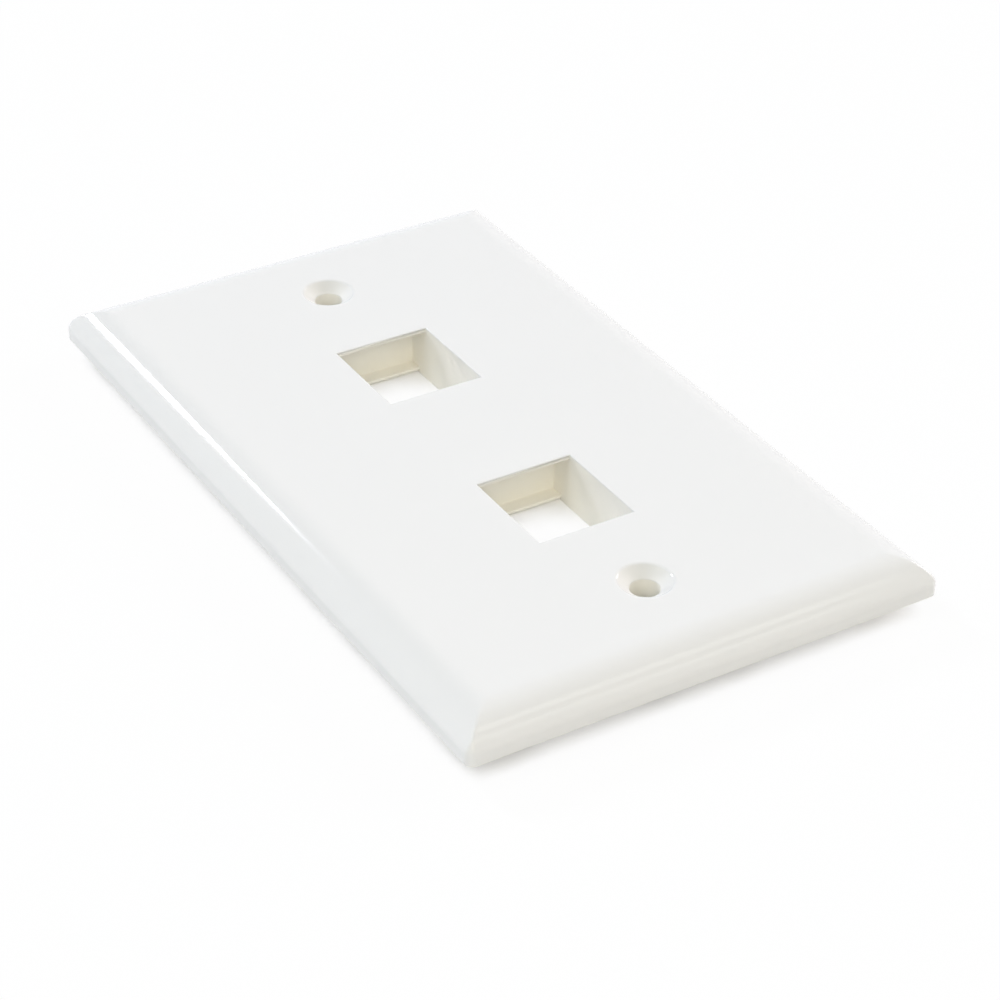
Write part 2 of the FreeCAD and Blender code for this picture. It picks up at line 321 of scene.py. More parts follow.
class NodeSheet:
    """A node tree with short calls for placing and joining nodes."""

    def __init__(self, tree: bpy.types.NodeTree) -> None:
        """Keep the tree that nodes go into."""
        self.tree = tree

    def feed(self, node: bpy.types.Node, inputs: dict[str | int, object]) -> None:
        """Fill a node's inputs.

        Args:
            node: The node.
            inputs: Values for sockets, or other sockets to join them to, by name or place.
        """
        for socket, value in inputs.items():
            if isinstance(value, bpy.types.NodeSocket):
                self.tree.links.new(value, node.inputs[socket])
            else:
                node.inputs[socket].default_value = value

    def node(
        self, kind: str, inputs: dict[str | int, object] | None = None, **settings: object
    ) -> bpy.types.Node:
        """Place a node.

        Args:
            kind: The node's type.
            inputs: What its inputs get, as feed takes them.
            settings: Values for the node's own settings.

        Returns:
            The node.
        """
        made = self.tree.nodes.new(kind)
        for setting, value in settings.items():
            setattr(made, setting, value)
        self.feed(made, inputs or {})
        return made

    def math(self, operation: str, *values: Number) -> bpy.types.NodeSocket:
        """Work out one operation on numbers or sockets and return its socket."""
        made = self.node("ShaderNodeMath", dict(enumerate(values)), operation=operation)
        return made.outputs[0]

    def noise(
        self, place: bpy.types.NodeSocket, size: Number, detail: float
    ) -> bpy.types.NodeSocket:
        """Place soft noise about one half.

        Args:
            place: Where on the piece.
            size: Its largest features' size, in metres.
            detail: How many times finer features are laid over those.

        Returns:
            The noise's socket.
        """
        scale = self.math("DIVIDE", 1.0, size)
        inputs = {"Vector": place, "Scale": scale, "Detail": detail}
        return self.node("ShaderNodeTexNoise", inputs).outputs["Fac"]

    def wander(
        self, place: bpy.types.NodeSocket, size: Number, detail: float
    ) -> bpy.types.NodeSocket:
        """Soft noise about zero, from what noise takes."""
        return self.math("SUBTRACT", self.noise(place, size, detail), 0.5)


def new_group(name: str, inputs: dict[str, Socket], outputs: dict[str, Socket]) -> NodeSheet:
    """Start a shader node group.

    Args:
        name: The group's name.
        inputs: Its inputs and their kinds.
        outputs: Its outputs and their kinds.

    Returns:
        The group's sheet.
    """
    tree = bpy.data.node_groups.new(name, "ShaderNodeTree")
    for in_out, sockets in (("INPUT", inputs), ("OUTPUT", outputs)):
        for socket, kind in sockets.items():
            tree.interface.new_socket(socket, in_out=in_out, socket_type=kind.value)
    return NodeSheet(tree)


def resin_tone_group() -> bpy.types.NodeTree:
    """Colour of the resin: its tone, drifting slowly lighter and darker over the moulding.

    The colour is the tone times (1 + drift x noise about zero).

    Returns:
        The group's tree.
    """
    sheet = new_group(
        "resin_tone",
        {"Tone": Socket.COLOUR, "Drift": Socket.NUMBER, "Drift Size": Socket.NUMBER},
        {"Color": Socket.COLOUR},
    )
    given = sheet.node("NodeGroupInput").outputs
    place = sheet.node("ShaderNodeTexCoord").outputs["Object"]
    wander = sheet.wander(place, given["Drift Size"], detail=3.0)
    factor = sheet.math("MULTIPLY_ADD", wander, given["Drift"], 1.0)
    inputs = {"Vector": given["Tone"], "Scale": factor}
    tone = sheet.node("ShaderNodeVectorMath", inputs, operation="SCALE")
    sheet.node("NodeGroupOutput", {"Color": tone.outputs[0]})
    return sheet.tree


def mould_skin_group() -> bpy.types.NodeTree:
    """Skin that the mould leaves: gloss that varies, a soft ripple and a fine grain.

    The roughness is the gloss roughness plus its drift times noise about zero. The height is
    each noise times its own height, added up, in metres, so that the bump's distance is one.

    Returns:
        The group's tree.
    """
    names = (
        "Gloss Roughness",
        "Gloss Drift",
        "Gloss Size",
        "Ripple Size",
        "Ripple Height",
        "Grain Size",
        "Grain Height",
    )
    sheet = new_group(
        "mould_skin",
        dict.fromkeys(names, Socket.NUMBER),
        {"Roughness": Socket.NUMBER, "Height": Socket.NUMBER},
    )
    given = sheet.node("NodeGroupInput").outputs
    place = sheet.node("ShaderNodeTexCoord").outputs["Object"]
    patches = sheet.wander(place, given["Gloss Size"], detail=4.0)
    roughness = sheet.math("MULTIPLY_ADD", patches, given["Gloss Drift"], given["Gloss Roughness"])
    ripple = sheet.noise(place, given["Ripple Size"], detail=1.0)
    grain = sheet.noise(place, given["Grain Size"], detail=2.0)
    height = sheet.math("MULTIPLY", ripple, given["Ripple Height"])
    height = sheet.math("MULTIPLY_ADD", grain, given["Grain Height"], height)
    sheet.node("NodeGroupOutput", {"Roughness": roughness, "Height": height})
    return sheet.tree


@dataclass(frozen=True)
class ResinFinish:
    """White resin with the skin that one part of the mould gives it, and a tone that carries
    painted light on the tooled finish and painted shade on the pinned finish. Lengths are in
    metres.
    """

    name: str
    tone: tuple[float, float, float]
    roughness: float
    gloss_drift: float
    ripple_height: float
    grain_size: float
    grain_height: float
    tone_drift: float = 0.012
    tone_drift_size: float = 0.022
    gloss_size: float = 0.006
    ripple_size: float = 0.004
    refraction: float = 1.5
    glow: float = 0.2
    glow_reach: float = 0.0008
    glow_shares: tuple[float, float, float] = (1.0, 1.0, 1.0)

    def material(
        self, tone_group: bpy.types.NodeTree, skin_group: bpy.types.NodeTree
    ) -> bpy.types.Material:
        """Build the material from the shared groups.

        Args:
            tone_group: The resin's colour group.
            skin_group: The mould skin's group.

        Returns:
            The material.
        """
        material = bpy.data.materials.new(self.name)
        material.use_nodes = True
        sheet = NodeSheet(material.node_tree)
        tone = sheet.node(
            "ShaderNodeGroup",
            {
                "Tone": (*self.tone, 1.0),
                "Drift": self.tone_drift,
                "Drift Size": self.tone_drift_size,
            },
            node_tree=tone_group,
        )
        skin = sheet.node(
            "ShaderNodeGroup",
            {
                "Gloss Roughness": self.roughness,
                "Gloss Drift": self.gloss_drift,
                "Gloss Size": self.gloss_size,
                "Ripple Size": self.ripple_size,
                "Ripple Height": self.ripple_height,
                "Grain Size": self.grain_size,
                "Grain Height": self.grain_height,
            },
            node_tree=skin_group,
        )
        relief = {"Strength": 1.0, "Distance": 1.0, "Height": skin.outputs["Height"]}
        bump = sheet.node("ShaderNodeBump", relief)
        sheet.feed(
            sheet.tree.nodes["Principled BSDF"],
            {
                "Base Color": tone.outputs["Color"],
                "Roughness": skin.outputs["Roughness"],
                "Normal": bump.outputs["Normal"],
                "IOR": self.refraction,
                "Subsurface Weight": self.glow,
                "Subsurface Radius": self.glow_shares,
                "Subsurface Scale": self.glow_reach,
            },
        )
        return material


POLISHED_RESIN = ResinFinish(
    name="white_resin_polished",
    tone=(0.885, 0.878, 0.865),
    roughness=0.08,
    gloss_drift=0.04,
    ripple_height=1.2e-6,
    grain_size=0.00022,
    grain_height=0.35e-6,
)
# Painted light: a brighter, warmer tone than the polished face, so that the ports, bores, hollow
# and ribs look lighter and warmer than the lamps make them.
TOOLED_RESIN_PAINTED_LIGHT = ResinFinish(
    name="white_resin_tooled_painted_light",
    tone=(0.97, 0.948, 0.88),
    roughness=0.46,
    gloss_drift=0.12,
    ripple_height=2.0e-6,
    grain_size=0.00016,
    grain_height=1.2e-6,
)
# Painted shade: a darker tone than the polished face, so that the countersinks look dimmer than the
# lamps make them.
PINNED_RESIN_PAINTED_SHADE = ResinFinish(
    name="white_resin_pinned_painted_shade",
    tone=(0.832, 0.822, 0.795),
    roughness=0.60,
    gloss_drift=0.08,
    ripple_height=1.5e-6,
    grain_size=0.00018,
    grain_height=0.7e-6,
)
FINISHES = {
    Side.POLISHED: POLISHED_RESIN,
    Side.TOOLED: TOOLED_RESIN_PAINTED_LIGHT,
    Side.PINNED: PINNED_RESIN_PAINTED_SHADE,
}


# ---------------------------------------------------------------------------------------------
# The moulding
# ---------------------------------------------------------------------------------------------


@dataclass(frozen=True)
class Shell:
    """The plate: its bevelled outside, its rim and the hollow behind it."""

    half_width: float
    half_length: float
    face_height: float
    edge_upright: float = 1.6
    edge_turn_radius: float = 1.2
    edge_turn_points: int = 9
    edge_slope: float = 57.5
    edge_crown_radius: float = 6.4
    edge_crown_points: int = 29
    face_border: float = 0.5
    corner_radius: float = 1.15
    corner_points: int = 14
    mitre_radius: float = 0.35
    foot_rounding: float = 0.15
    front_wall: float = 2.0
    rim_wall: float = 2.0
    rim_rounding: float = 0.12
    hollow_upright: float = 1.0
    hollow_bend_rounding: float = 0.3
    hollow_roof_inset: float = 4.6
    hollow_roof_border: float = 1.5
    hollow_corner_radius: float = 0.8
    hollow_rounding: float = 0.6

    @property
    def roof(self) -> float:
        """Height of the hollow's roof."""
        return self.face_height - self.front_wall

    def outside_section(self) -> np.ndarray:
        """Section from the foot to the front face.

        With t the outward normal's angle above the wall, the turn is its centre plus its
        radius times (-cos t, sin t) for t from level to the slope's normal, and the crown is
        the same from there to straight up. The slope is the straight line between them.

        Returns:
            Rows of inset and height.
        """
        lean = math.radians(90.0 - self.edge_slope)
        turn = np.linspace(0.0, lean, self.edge_turn_points)
        crown = np.linspace(lean, QUARTER_TURN, self.edge_crown_points)
        turn_inset = self.edge_turn_radius * (1 - np.cos(turn))
        turn_height = self.edge_upright + self.edge_turn_radius * np.sin(turn)
        crown_height = self.face_height - self.edge_crown_radius * (1 - np.sin(crown))
        run = (crown_height[0] - turn_height[-1]) / math.tan(math.radians(self.edge_slope))
        crown_centre = turn_inset[-1] + run + self.edge_crown_radius * math.cos(lean)
        crown_inset = crown_centre - self.edge_crown_radius * np.cos(crown)
        inset = np.concatenate([turn_inset, crown_inset, [crown_inset[-1] + self.face_border]])
        height = np.concatenate([turn_height, crown_height, [self.face_height]])
        return np.stack([inset, height], axis=-1)

    def hollow_section(self) -> np.ndarray:
        """Section from the hollow's roof, down its side and across the rim to the foot.

        Returns:
            Rows of inset and height. The last rounding is the foot's.
        """
        corners = np.array(
            [
                [self.hollow_roof_inset + self.hollow_roof_border, self.roof],
                [self.hollow_roof_inset, self.roof],
                [self.rim_wall, self.hollow_upright],
                [self.rim_wall, 0.0],
                [0.0, 0.0],
                [0.0, self.edge_upright],
            ]
        )
        reach = [
            self.hollow_rounding,
            self.hollow_bend_rounding,
            self.rim_rounding,
            self.foot_rounding,
        ]
        return soften(corners, reach)[:-1]

    def rings(self, section: np.ndarray, radius: np.ndarray) -> np.ndarray:
        """Carry a section round the plate.

        Args:
            section: Rows of inset and height.
            radius: The outline's corner radius at each row.

        Returns:
            Points by ring, place round the ring, and axis.
        """
        inset, height = section.T
        x = self.half_width - inset
        y = self.half_length - inset
        sizes = np.stack([-x, x, -y, y, radius, height], axis=-1)
        return rectangle_rings(sizes, self.corner_points)

    def build(self, moulding: Moulding) -> tuple[np.ndarray, np.ndarray]:
        """Add the shell's surface, all but the front face and the hollow's roof.

        The outline's corner radius falls by the inset, down to the mitre's own softness.

        Args:
            moulding: Where the surface goes.

        Returns:
            The loops where the roof and the front face join on.
        """
        hollow = self.hollow_section()
        section = np.concatenate([hollow, self.outside_section()])
        row = np.arange(len(section))
        outer_radius = np.maximum(self.corner_radius - section[:, 0], self.mitre_radius)
        foot = len(hollow) - (ROUNDING_STEPS + 1)
        radius = np.where(row < foot, self.hollow_corner_radius, outer_radius)
        rings = self.rings(section, radius)
        side = np.where(row[:-1] < len(hollow) - 1, Side.TOOLED, Side.POLISHED)
        moulding.add_rings(rings, side)
        return rings[0], rings[-1]


@dataclass(frozen=True)
class KeystonePort:
    """One opening with the receptacle behind it that a keystone jack snaps into.

    The fixed hook's groove is on the low-y side and the latch's room on the high-y side.
    """

    middle: float
    face_height: float
    roof: float
    width: float = 14.4
    length: float = 15.5
    depth: float = 8.3
    wall: float = 1.5
    corner_radius: float = 0.8
    catch_depth: float = 7.4
    catch_overhang: float = 2.1
    catch_ramp: float = 0.5
    latch_room: float = 3.7
    latch_skin: float = 0.75
    hook_room: float = 2.0
    hook_height: float = 1.5
    lip_rounding: float = 0.16
    edge_rounding: float = 0.1
    groove_rounding: float = 0.15
    room_rounding: float = 0.3
    ledge_root_rounding: float = 0.2
    ledge_rounding: float = 0.12
    ramp_rounding: float = 0.06
    rear_rounding: float = 0.2
    root_rounding: float = 0.3

    @property
    def half(self) -> float:
        """Half the opening's width."""
        return self.width / 2

    @property
    def outer_half(self) -> float:
        """Half the receptacle's width outside."""
        return self.half + self.wall

    @property
    def hook_end(self) -> float:
        """The opening's low y."""
        return self.middle - self.length / 2

    @property
    def latch_end(self) -> float:
        """The opening's high y."""
        return self.middle + self.length / 2

    @property
    def hook_wall(self) -> float:
        """The y of the groove's far wall."""
        return self.hook_end - self.hook_room

    @property
    def latch_wall(self) -> float:
        """The y of the latch room's far wall."""
        return self.latch_end + self.latch_room

    @property
    def ledge_edge(self) -> float:
        """The y of the edge that the latch catches."""
        return self.latch_wall - self.catch_overhang

    @property
    def span(self) -> tuple[float, float]:
        """Low and high y of the receptacle outside."""
        return self.hook_wall - self.wall, self.latch_wall + self.wall

    @property
    def under_lip(self) -> float:
        """Height where the lip's rounding ends and the walls start."""
        return self.face_height - self.lip_rounding

    @property
    def ledge(self) -> float:
        """Height of the ledges that hold the jack."""
        return self.face_height - self.catch_depth

    @property
    def rear(self) -> float:
        """Height of the receptacle's open rear."""
        return self.face_height - self.depth

    def build(self, moulding: Moulding) -> tuple[np.ndarray, np.ndarray]:
        """Add the port's surface.

        Args:
            moulding: Where the surface goes.

        Returns:
            The loops where the roof and the front face join on.
        """
        face_loop = self._mouth(moulding)
        self._walls(moulding)
        return self._outside(moulding), face_loop

    @staticmethod
    def _rings(rows: np.ndarray) -> np.ndarray:
        """Rings for rows of half width, low y, high y, corner radius and height."""
        half, low, high, radius, height = rows.T
        return rectangle_rings(np.stack([-half, half, low, high, radius, height], axis=-1))

    def _mouth(self, moulding: Moulding) -> np.ndarray:
        """Add the lip, from the front face into the opening.

        Args:
            moulding: Where the surface goes.

        Returns:
            The loop where the front face joins on.
        """
        margin = 2 * self.lip_rounding
        low, high = self.hook_end, self.latch_end
        corners = np.array(
            [
                [self.half + margin, low - margin, high + margin, margin, self.face_height],
                [self.half, low, high, 0.0, self.face_height],
                [self.half, low, high, 0.0, self.under_lip - self.lip_rounding],
            ]
        )
        rings = self._rings(soften(corners, [self.lip_rounding]))[:-1]
        moulding.add_rings(rings, Side.POLISHED)
        return rings[0]

    def _hook_side(self) -> np.ndarray:
        """The low-y wall and its groove, from the lip to the rear.

        Returns:
            Rows of y and height.
        """
        groove_top = self.ledge + self.hook_height
        corners = np.array(
            [
                [self.hook_end, self.under_lip],
                [self.hook_end, groove_top],
                [self.hook_wall, groove_top],
                [self.hook_wall, self.ledge],
                [self.hook_end, self.ledge],
                [self.hook_end, self.rear],
            ]
        )
        edge, root = self.edge_rounding, self.groove_rounding
        return soften(corners, [edge, root, root, edge])

    def _latch_side(self) -> np.ndarray:
        """The high-y wall, the latch's room, its ledge and the ramp, from the lip to the rear.

        Returns:
            Rows of y and height.
        """
        skin = self.face_height - self.latch_skin
        corners = np.array(
            [
                [self.latch_end, self.under_lip],
                [self.latch_end, skin],
                [self.latch_wall, skin],
                [self.latch_wall, self.ledge],
                [self.ledge_edge, self.ledge],
                [self.ledge_edge, self.rear + self.catch_ramp],
                [self.ledge_edge + self.catch_ramp, self.rear],
            ]
        )
        reach = [
            self.edge_rounding,
            self.room_rounding,
            self.ledge_root_rounding,
            self.ledge_rounding,
            self.ramp_rounding,
        ]
        return soften(corners, reach)

    def _walls(self, moulding: Moulding) -> None:
        """Add the walls: each side's line carried across the opening, and the two flat sides.

        Args:
            moulding: Where the surface goes.
        """
        # The walls take the tooled finish, whose tone is painted light that makes the port's inside
        # lighter and warmer.
        hook_side, latch_side = self._hook_side(), self._latch_side()
        for line, outward in ((hook_side, 1), (latch_side, -1)):
            left = np.insert(line, 0, -self.half * outward, axis=1)
            right = np.insert(line, 0, self.half * outward, axis=1)
            moulding.add_strip(left, right, Side.TOOLED)
        outline = np.concatenate([hook_side, latch_side[::-1]])
        moulding.add_polygon(np.insert(outline[::-1], 0, self.half, axis=1), Side.TOOLED)
        moulding.add_polygon(np.insert(outline, 0, -self.half, axis=1), Side.TOOLED)

    def _outside(self, moulding: Moulding) -> np.ndarray:
        """Add the open rear, the outside and the root in the hollow's roof.

        Args:
            moulding: Where the surface goes.

        Returns:
            The loop where the roof joins on.
        """
        half, radius = self.outer_half, self.corner_radius
        low, high = self.span
        flare = 2 * self.root_rounding
        corners = np.array(
            [
                [self.half, self.hook_end, self.ledge_edge + self.catch_ramp, 0.0, self.rear],
                [half, low, high, radius, self.rear],
                [half, low, high, radius, self.roof],
                [half + flare, low - flare, high + flare, radius + flare, self.roof],
            ]
        )
        rings = self._rings(soften(corners, [self.rear_rounding, self.root_rounding]))
        moulding.add_rings(rings, Side.TOOLED)
        return rings[-1]


@dataclass(frozen=True)
class ScrewHole:
    """A countersunk hole and the boss behind it."""

    middle: float
    face_height: float
    roof: float
    bore: float
    sink: float = 7.5
    sink_angle: float = 106.0
    boss_wall: float = 2.2
    mouth_rounding: float = 0.2
    bore_rounding: float = 0.12
    boss_rounding: float = 0.25
    root_rounding: float = 0.3
    pin_reach: float = 0.3

    @property
    def boss(self) -> float:
        """The boss's radius."""
        return self.bore / 2 + self.boss_wall

    @property
    def span(self) -> tuple[float, float]:
        """Low and high y of the boss."""
        return self.middle - self.boss, self.middle + self.boss

    def build(self, moulding: Moulding) -> tuple[np.ndarray, np.ndarray]:
        """Add the hole's and the boss's surface.

        A pin makes the countersink and the first of the bore. That band takes painted shade, a
        darker tone, and the rest of the bore and the boss take the tooled finish's painted light.

        Args:
            moulding: Where the surface goes.

        Returns:
            The loops where the roof and the front face join on.
        """
        bore, sink = self.bore / 2, self.sink / 2
        cone = (sink - bore) / math.tan(math.radians(self.sink_angle / 2))
        corners = np.array(
            [
                [sink + 2 * self.mouth_rounding, self.face_height],
                [sink, self.face_height],
                [bore, self.face_height - cone],
                [bore, 0.0],
                [self.boss, 0.0],
                [self.boss, self.roof],
                [self.boss + 2 * self.root_rounding, self.roof],
            ]
        )
        reach = [
            self.mouth_rounding,
            self.bore_rounding,
            self.bore_rounding,
            self.boss_rounding,
            self.root_rounding,
        ]
        rows = soften(corners, reach)
        rings = circle_rings(rows, (0.0, self.middle))
        height = rows[1:, 1]
        in_mouth = height > self.face_height - self.mouth_rounding
        # The pinned band below the mouth gets painted shade, and the faces below it get the tooled
        # finish's painted light.
        on_pin_painted_shade = height > self.face_height - cone - self.pin_reach
        side = np.select([in_mouth, on_pin_painted_shade], [Side.POLISHED, Side.PINNED], Side.TOOLED)
        moulding.add_rings(rings, side)
        return rings[-1], rings[0]


@dataclass(frozen=True)
class EjectorMark:
    """A shallow round mark that one of the mould's pins leaves in the hollow's roof."""

    x: float
    y: float
    roof: float
    diameter: float = 5.0
    depth: float = 0.25
    rounding: float = 0.06
    border: float = 0.2
    around: int = 40

    def build(self, moulding: Moulding) -> np.ndarray:
        """Add the mark's surface.

        Args:
            moulding: Where the surface goes.

        Returns:
            The loop where the roof joins on.
        """
        radius = self.diameter / 2
        corners = np.array(
            [
                [radius + self.border, self.roof],
                [radius, self.roof],
                [radius, self.roof + self.depth],
                [0.0, self.roof + self.depth],
            ]
        )
        rows = soften(corners, [self.rounding, self.rounding])[::-1]
        rings = circle_rings(rows, (self.x, self.y), self.around)
        moulding.add_rings(rings, Side.TOOLED)
        return rings[-1]


@dataclass(frozen=True)
class Ribs:
    """The spine along the hollow and the ribs across it, in runs between what they join.

    Each run goes a little way into what it joins, so that the union leaves no gap.
    """

    roof: float
    thickness: float = 1.2
    relief: float = 0.6
    crest_rounding: float = 0.2
    corner_radius: float = 0.05
    corner_points: int = 3
    bite: float = 0.5

    def _run(self, moulding: Moulding, x: tuple[float, float], y: tuple[float, float]) -> None:
        """Add one run of rib as a closed block with a rounded crest.

        Args:
            moulding: Where the surface goes.
            x: The run's low and high x.
            y: The run's low and high y.
        """
        (low_x, high_x), (low_y, high_y) = x, y
        inset, radius = self.crest_rounding, self.corner_radius
        rows = np.array(
            [
                [low_x + inset, high_x - inset, low_y + inset, high_y - inset, radius, self.relief],
                [low_x, high_x, low_y, high_y, radius, self.relief],
                [low_x, high_x, low_y, high_y, radius, self.roof + self.bite],
            ]
        )
        rings = rectangle_rings(soften(rows, [inset])[1:], self.corner_points)
        moulding.add_rings(rings, Side.TOOLED)
        moulding.add_polygon(rings[0][::-1], Side.TOOLED)
        moulding.add_polygon(rings[-1], Side.TOOLED)

    def build(
        self,
        moulding: Moulding,
        stops: list[tuple[float, float]],
        port_middles: list[float],
        port_side: float,
        rim_side: float,
    ) -> None:
        """Add every run.

        Args:
            moulding: Where the surface goes.
            stops: Low and high y of each thing the spine meets, in order along the plate.
            port_middles: Where the cross ribs are.
            port_side: The x of the receptacles' side.
            rim_side: The x of the hollow's side.
        """
        half = self.thickness / 2
        for (_, low), (high, _) in zip(stops, stops[1:]):
            self._run(moulding, (-half, half), (low - self.bite, high + self.bite))
        for middle in port_middles:
            for low, high in ((-rim_side, -port_side), (port_side, rim_side)):
                reach = (low - self.bite, high + self.bite)
                self._run(moulding, reach, (middle - half, middle + half))


@dataclass(frozen=True)
class Faceplate:
    """The whole moulding. Lengths in millimetres, angles in degrees."""

    shell: Shell
    ports: list[KeystonePort]
    holes: list[ScrewHole]
    ejector_side_inset: float = 12.0
    ejector_end_inset: float = 24.0
    crease_angle: float = 35.0
    flat_face_weight: int = 100

    @classmethod
    def from_frame(cls, node: str, record: dict) -> "Faceplate":
        """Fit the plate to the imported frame.

        Args:
            node: The CAD node that the plate is.
            record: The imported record.

        Returns:
            The plate, ready to build.
        """
        half_width, half_length, face = (np.array(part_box(node)[1]) / MM).tolist()
        shell = Shell(half_width, half_length, face)
        mounts = {mount["name"]: mount for mount in record["mounts"]}
        names = ("hook_side_keystone", "latch_side_keystone")
        port_middles = [mounts[name]["pos_m"][1] / MM for name in names]
        screws = mounts["screw_holes"]["dims"]
        bore, reach = 2 * screws["hole_r_mm"], screws["spacing_y_mm"] / 2
        return cls(
            shell,
            [KeystonePort(middle, face, shell.roof) for middle in port_middles],
            [ScrewHole(middle, face, shell.roof, bore) for middle in (-reach, reach)],
        )

    @property
    def marks(self) -> list[EjectorMark]:
        """The four ejector marks, one in each corner of the hollow's roof."""
        far_x = self.shell.half_width - self.ejector_side_inset
        far_y = self.shell.half_length - self.ejector_end_inset
        places = [(x, y) for x in (-far_x, far_x) for y in (-far_y, far_y)]
        return [EjectorMark(x, y, self.shell.roof) for x, y in places]

    def build(self, name: str, materials: list[bpy.types.Material]) -> bpy.types.Object:
        """Build the moulding.

        Args:
            name: The piece's name.
            materials: The finishes, in the order of Side.

        Returns:
            The piece, at the origin, unturned and unscaled.
        """
        body = self._piece(name, self._body(), materials)
        self._unite(body, self._piece("ribs", self._ribs(), materials))
        self._smooth(body)
        return body

    def _body(self) -> Moulding:
        """Work out the moulding's surface, all but the ribs.

        Returns:
            The closed surface.
        """
        body = Moulding()
        roof_loops, face_loops = [], []
        for part in (self.shell, *self.ports, *self.holes):
            roof_loop, face_loop = part.build(body)
            roof_loops.append(roof_loop)
            face_loops.append(face_loop)
        roof_loops += [mark.build(body) for mark in self.marks]
        body.add_flat(face_loops, True, Side.POLISHED)
        body.add_flat(roof_loops, False, Side.TOOLED)
        return body

    def _ribs(self) -> Moulding:
        """Work out the ribs' surface, in closed blocks.

        Returns:
            The blocks.
        """
        ribs = Moulding()
        end = self.shell.half_length - self.shell.rim_wall
        first, last = self.holes
        spans = [first.span, *(port.span for port in self.ports), last.span]
        Ribs(self.shell.roof).build(
            ribs,
            stops=[(-end, -end), *spans, (end, end)],
            port_middles=[port.middle for port in self.ports],
            port_side=self.ports[0].outer_half,
            rim_side=self.shell.half_width - self.shell.rim_wall,
        )
        return ribs

    @staticmethod
    def _piece(
        name: str, surface: Moulding, materials: list[bpy.types.Material]
    ) -> bpy.types.Object:
        """Put a surface with its finishes into the scene.

        Args:
            name: The piece's name.
            surface: Its surface.
            materials: The finishes, in the order of Side.

        Returns:
            The piece.
        """
        mesh = surface.mesh(name)
        for material in materials:
            mesh.materials.append(material)
        return into_scene(name, mesh)

    @staticmethod
    def _unite(body: bpy.types.Object, other: bpy.types.Object) -> None:
        """Join another closed mesh to the body, and drop the other object.

        Args:
            body: The piece that stays.
            other: What it takes in.
        """
        modifier = body.modifiers.new("Union", "BOOLEAN")
        modifier.operation = "UNION"
        modifier.solver = "EXACT"
        modifier.object = other
        bpy.context.view_layer.update()
        evaluated = body.evaluated_get(bpy.context.evaluated_depsgraph_get())
        united = bpy.data.meshes.new_from_object(evaluated)
        body.modifiers.clear()
        body.data = united
        bpy.data.objects.remove(other)

    def _smooth(self, body: bpy.types.Object) -> None:
        """Shade the roundings smooth, with the large flat faces left flat.

        Args:
            body: The piece.
        """
        mesh = body.data
        mesh.polygons.foreach_set("use_smooth", np.ones(len(mesh.polygons), dtype=bool))
        mesh.set_sharp_from_angle(angle=math.radians(self.crease_angle))
        weighted = body.modifiers.new("Weighted normals", "WEIGHTED_NORMAL")
        weighted.keep_sharp = True
        weighted.weight = self.flat_face_weight
        weighted.mode = "FACE_AREA"


# ---------------------------------------------------------------------------------------------
# The studio
# ---------------------------------------------------------------------------------------------


def aim(heading: float, tilt: float, roll: float) -> Matrix:
    """Turn what looks straight down: roll it, tilt it up about x, then swing it from +Y.

    Args:
        heading: Clockwise from +Y, seen from above, in degrees.
        tilt: Up from straight down, in degrees.
        roll: About its own line of sight, in degrees.

    Returns:
        The turn.
    """
    return (
        Matrix.Rotation(math.radians(-heading), 4, "Z")
        @ Matrix.Rotation(math.radians(tilt), 4, "X")
        @ Matrix.Rotation(math.radians(roll), 4, "Z")
    )


class LampShape(Enum):
    """The outlines that a lamp may have."""

    ROUND = "ELLIPSE"
    SQUARE = "RECTANGLE"


@dataclass(frozen=True)
class Lamp:
    """A flat lamp that faces the plate. Angles in degrees, lengths in metres.

    Azimuth is clockwise from +Y seen from above. Light is what falls on a sheet held square to
    the lamp, by colour, where pi on a white sheet renders as white.
    """

    name: str
    azimuth: float
    elevation: float
    light: tuple[float, float, float]
    width: float
    height: float
    distance: float = 3.0
    spin: float = 0.0
    shape: LampShape = LampShape.ROUND

    def build(self) -> None:
        """Hang the lamp: its power is pi times the light times its distance squared."""
        lamp = bpy.data.lights.new(self.name, "AREA")
        lamp.shape = self.shape.value
        lamp.size, lamp.size_y = self.width, self.height
        strength = max(self.light)
        lamp.energy = math.pi * strength * self.distance**2
        lamp.color = [share / strength for share in self.light]
        turn = aim(self.azimuth, self.elevation - 90.0, self.spin)
        out = Matrix.Translation((0.0, 0.0, self.distance))
        into_scene(self.name, lamp).matrix_world = turn @ out


LAMPS = (
    Lamp("rim", azimuth=-17.9, elevation=31.6, light=(1.21, 1.25, 1.38),
         width=0.32, height=0.80, spin=12.5),
    Lamp("side", azimuth=90.0, elevation=22.0, light=(1.76, 1.67, 1.66),
         width=2.4, height=1.3),
    Lamp("front", azimuth=198.0, elevation=38.0, light=(0.92, 0.83, 0.62),
         width=0.96, height=0.72, distance=1.2),
    Lamp("window", azimuth=275.0, elevation=58.0, light=(0.98, 1.03, 1.05),
         width=2.4, height=1.8),
    Lamp("high_strip", azimuth=136.6, elevation=51.7, light=(0.059, 0.059, 0.055),
         width=0.85, height=0.5, spin=-36.6, shape=LampShape.SQUARE),
    Lamp("low_strip", azimuth=148.7, elevation=34.9, light=(0.036, 0.036, 0.034),
         width=0.8, height=0.42, spin=-19.2, shape=LampShape.SQUARE),
)


